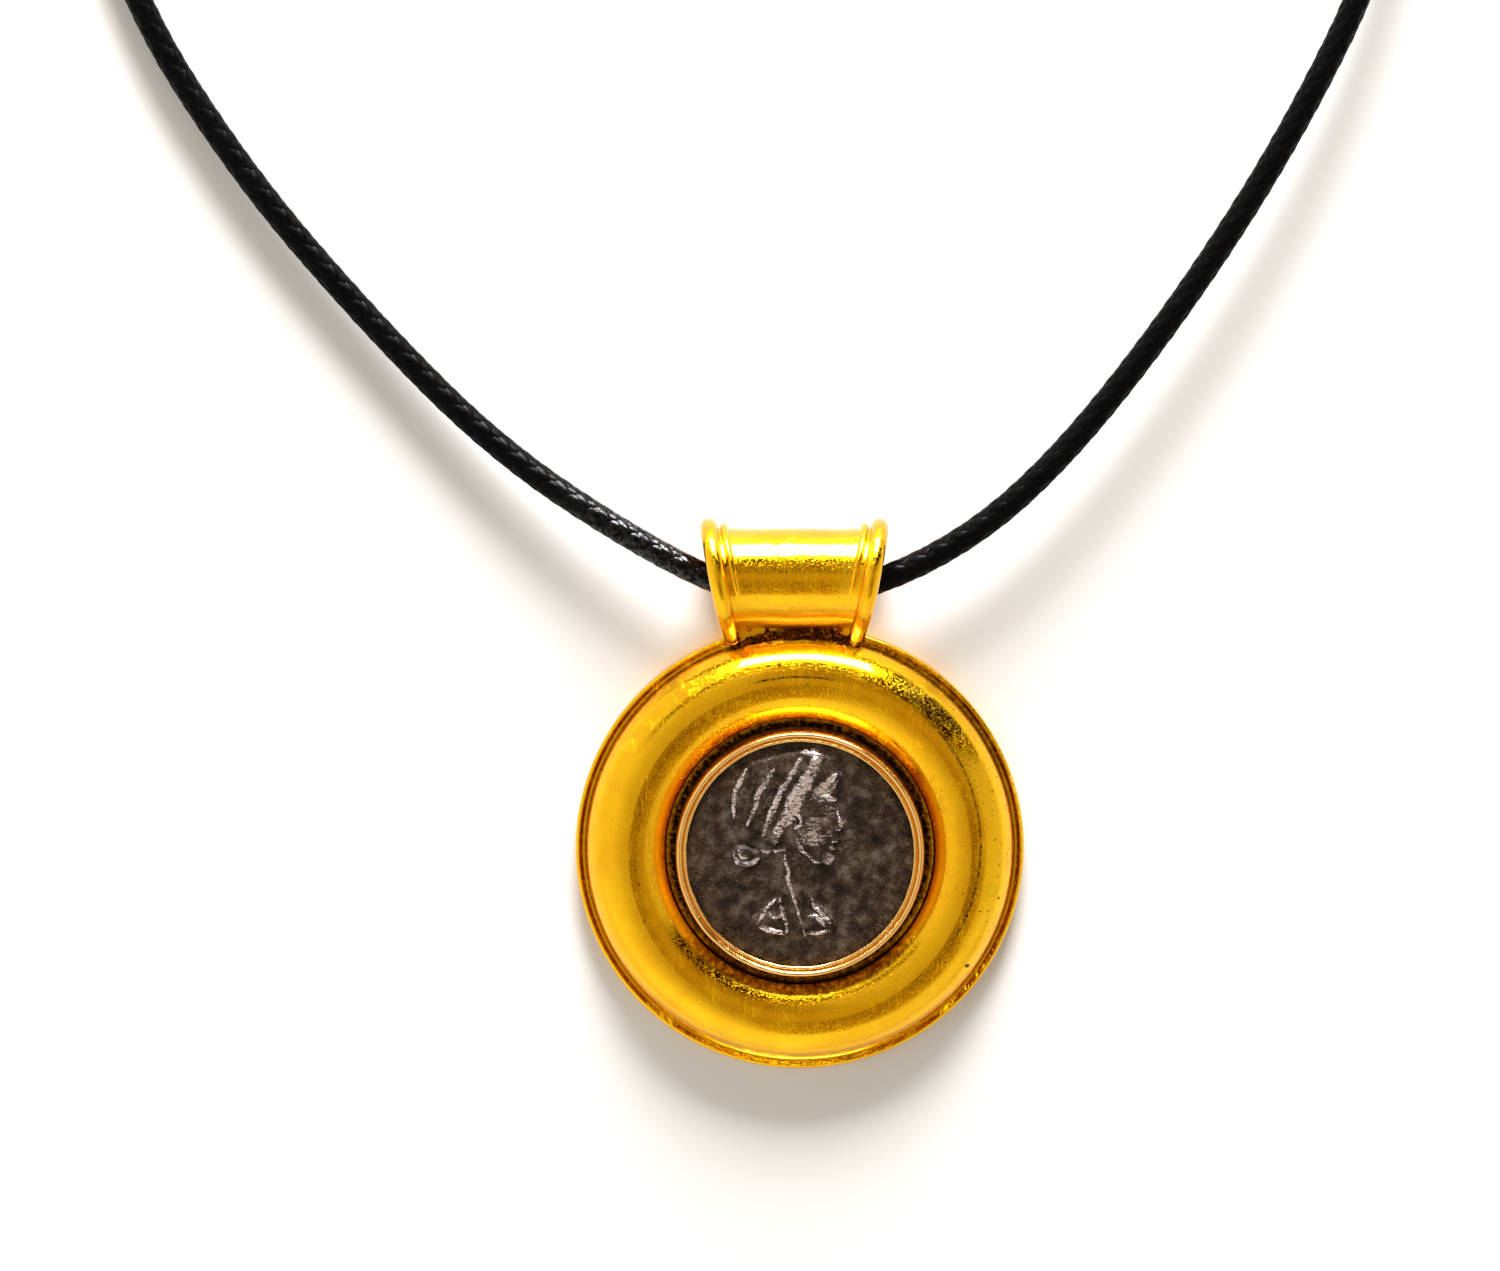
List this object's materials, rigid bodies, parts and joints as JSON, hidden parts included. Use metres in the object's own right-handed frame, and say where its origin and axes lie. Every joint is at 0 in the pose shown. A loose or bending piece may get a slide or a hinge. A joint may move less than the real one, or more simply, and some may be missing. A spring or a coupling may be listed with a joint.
{
  "type": "medallion pendant on a cord",
  "caption": "Round domed medallion with a coin in a raised collar, a spool-shaped bail and a closed braided neck cord.",
  "frame": {"origin": "centre of the medallion's flat back", "axes": "+Z out of the face, +Y towards the bail and the cord, +X to the right of the face"},
  "size_m": [0.1127, 0.1687, 0.0094],
  "materials": {
    "yellow_gold": "polished, finely scratched",
    "bezel_gold": "polished",
    "dark_silver": "patinated, worn bright on its high places",
    "black_cord": "waxed braid",
    "clasp_gold": "polished"
  },
  "bodies": {
    "root": {"medallion_frame": "yellow_gold", "coin_bezel": "bezel_gold", "coin": "dark_silver", "neck_cord": "black_cord", "clasp": "clasp_gold"}
  },
  "joints": []
}
